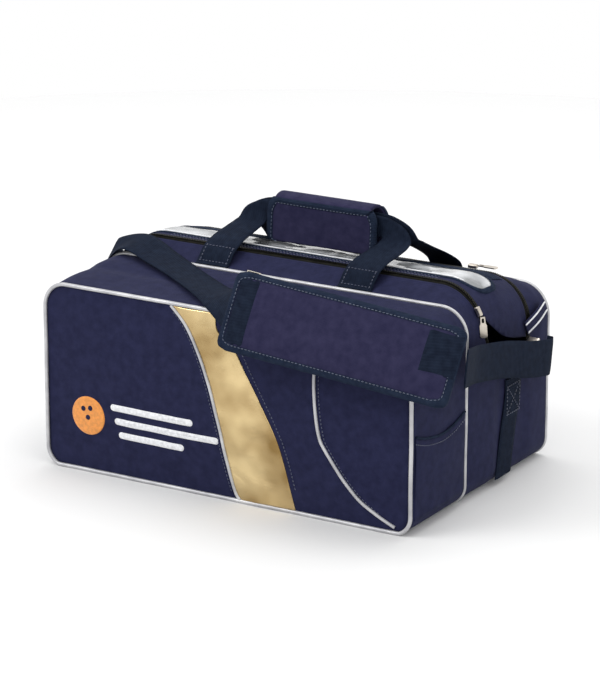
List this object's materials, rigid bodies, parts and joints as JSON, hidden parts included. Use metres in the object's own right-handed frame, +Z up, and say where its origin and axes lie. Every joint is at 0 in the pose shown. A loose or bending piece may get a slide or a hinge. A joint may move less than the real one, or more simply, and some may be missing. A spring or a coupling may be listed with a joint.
{
  "type": "bowling tote bag",
  "caption": "Soft two-ball bowling tote with a zipped window lid, front shoe compartment, wrapped carry handles and a padded shoulder strap.",
  "frame": {"origin": "middle of the base, on the surface the bag stands on", "axes": "+Z up, +X along the bag's length towards the slider end, -Y towards the shoe compartment at the front"},
  "size_m": [0.6376, 0.4246, 0.3435],
  "materials": {
    "navy_fabric": "woven polyester with a coated back",
    "webbing": "ribbed woven webbing",
    "piping": "soft silver-white vinyl piping",
    "gold_vinyl": "metallic coated vinyl, wrinkled",
    "embroidery_white": "satin stitch",
    "embroidery_orange": "satin stitch",
    "zipper_tape": "woven tape with moulded teeth",
    "zipper_metal": "polished nickel-plated zinc",
    "window": "clear flexible vinyl",
    "board": "matt",
    "foam": "closed-cell foam covered in cloth"
  },
  "bodies": {
    "root": {"front_panel": "navy_fabric", "rear_panel": "navy_fabric", "front_gusset": "navy_fabric", "main_gusset": "navy_fabric", "divider_panel": "navy_fabric", "strap_pad": "navy_fabric", "end_tab": "navy_fabric", "strap_left": "webbing", "strap_right": "webbing", "end_webbing_left": "webbing", "end_webbing_right": "webbing", "ring_keeper_left": "webbing", "ring_keeper_right": "webbing", "front_piping": "piping", "seam_piping": "piping", "rear_piping": "piping", "gold_piping": "piping", "arc_piping": "piping", "gold_panel": "gold_vinyl", "emblem_ball": "embroidery_orange", "emblem_stripe_1": "embroidery_white", "emblem_stripe_2": "embroidery_white", "emblem_stripe_3": "embroidery_white", "case_zip_tape": "zipper_tape", "rear_zip_tape": "zipper_tape", "pocket_zip_tape": "zipper_tape", "slide_buckle": "zipper_metal", "d_ring_left": "zipper_metal", "d_ring_right": "zipper_metal", "hook_left": "zipper_metal", "hook_right": "zipper_metal", "hook_swivel_left": "zipper_metal", "hook_swivel_right": "zipper_metal", "base_board": "board", "ball_cup_left": "foam", "ball_cup_right": "foam", "ball_divider": "foam"},
    "lid": {"lid_frame": "navy_fabric", "lid_window": "window", "lid_zip_tape": "zipper_tape"},
    "front_carry": {"front_handle": "webbing", "front_wrap": "navy_fabric"},
    "rear_carry": {"rear_handle": "webbing", "rear_wrap": "navy_fabric"},
    "front_zip_slider": {"front_slider": "zipper_metal"},
    "front_zip_pull": {"front_slider_pull": "zipper_metal"},
    "rear_zip_slider": {"rear_slider": "zipper_metal"},
    "rear_zip_pull": {"rear_slider_pull": "zipper_metal"},
    "pocket_zip_slider": {"pocket_slider": "zipper_metal"},
    "pocket_zip_pull": {"pocket_slider_pull": "zipper_metal"},
    "gate_left": {"hook_gate_left": "zipper_metal"},
    "gate_right": {"hook_gate_right": "zipper_metal"}
  },
  "joints": [
    {"name": "lid_hinge", "type": "hinge", "parent": "root", "child": "lid", "pos_m": [0, 0.1185, 0.259], "axis": [-1, 0, 0], "range_deg": [0, 68]},
    {"name": "front_handle_swing", "type": "hinge", "parent": "root", "child": "front_carry", "pos_m": [0, -0.036, 0.2635], "axis": [1, 0, 0], "range_deg": [0, 106]},
    {"name": "rear_handle_swing", "type": "hinge", "parent": "root", "child": "rear_carry", "pos_m": [0, 0.172, 0.241], "axis": [-1, 0, 0], "range_deg": [0, 106]},
    {"name": "front_slider_run", "type": "hinge", "parent": "root", "child": "front_zip_slider", "pos_m": [0.2125, -0.006, 0.216], "axis": [0, -1, 0], "range_deg": [0, 58]},
    {"name": "front_pull_swing", "type": "hinge", "parent": "front_zip_slider", "child": "front_zip_pull", "pos_m": [0.27396, -0.006, 0.2395], "axis": [0, -1, 0], "range_deg": [0, 100]},
    {"name": "rear_slider_run", "type": "slide", "parent": "root", "child": "rear_zip_slider", "axis": [-1, 0, 0], "range_m": [0, 0.385]},
    {"name": "rear_pull_swing", "type": "hinge", "parent": "rear_zip_slider", "child": "rear_zip_pull", "pos_m": [0.1981, 0.1257, 0.2637], "axis": [0, -1, 0], "range_deg": [0, 110]},
    {"name": "pocket_slider_run", "type": "slide", "parent": "root", "child": "pocket_zip_slider", "axis": [-1, 0, 0], "range_m": [0, 0.21]},
    {"name": "pocket_pull_swing", "type": "hinge", "parent": "pocket_zip_slider", "child": "pocket_zip_pull", "pos_m": [0.1981, -0.105, 0.25857], "axis": [0, -1, 0], "range_deg": [0, 110]},
    {"name": "left_gate_press", "type": "hinge", "parent": "root", "child": "gate_left", "pos_m": [-0.2813, 0.05411, 0.17573], "axis": [0, 0.6428, 0.766], "range_deg": [0, 20], "stiffness_Nm_per_rad": 0.02},
    {"name": "right_gate_press", "type": "hinge", "parent": "root", "child": "gate_right", "pos_m": [0.28021, 0.11063, 0.16828], "axis": [0, -0.4226, -0.9063], "range_deg": [0, 20], "stiffness_Nm_per_rad": 0.02}
  ],
  "couplings": [
    {"joint": "front_handle_swing", "follows": "lid_hinge", "ratio": 1.55},
    {"joint": "rear_handle_swing", "follows": "lid_hinge", "ratio": 1}
  ]
}
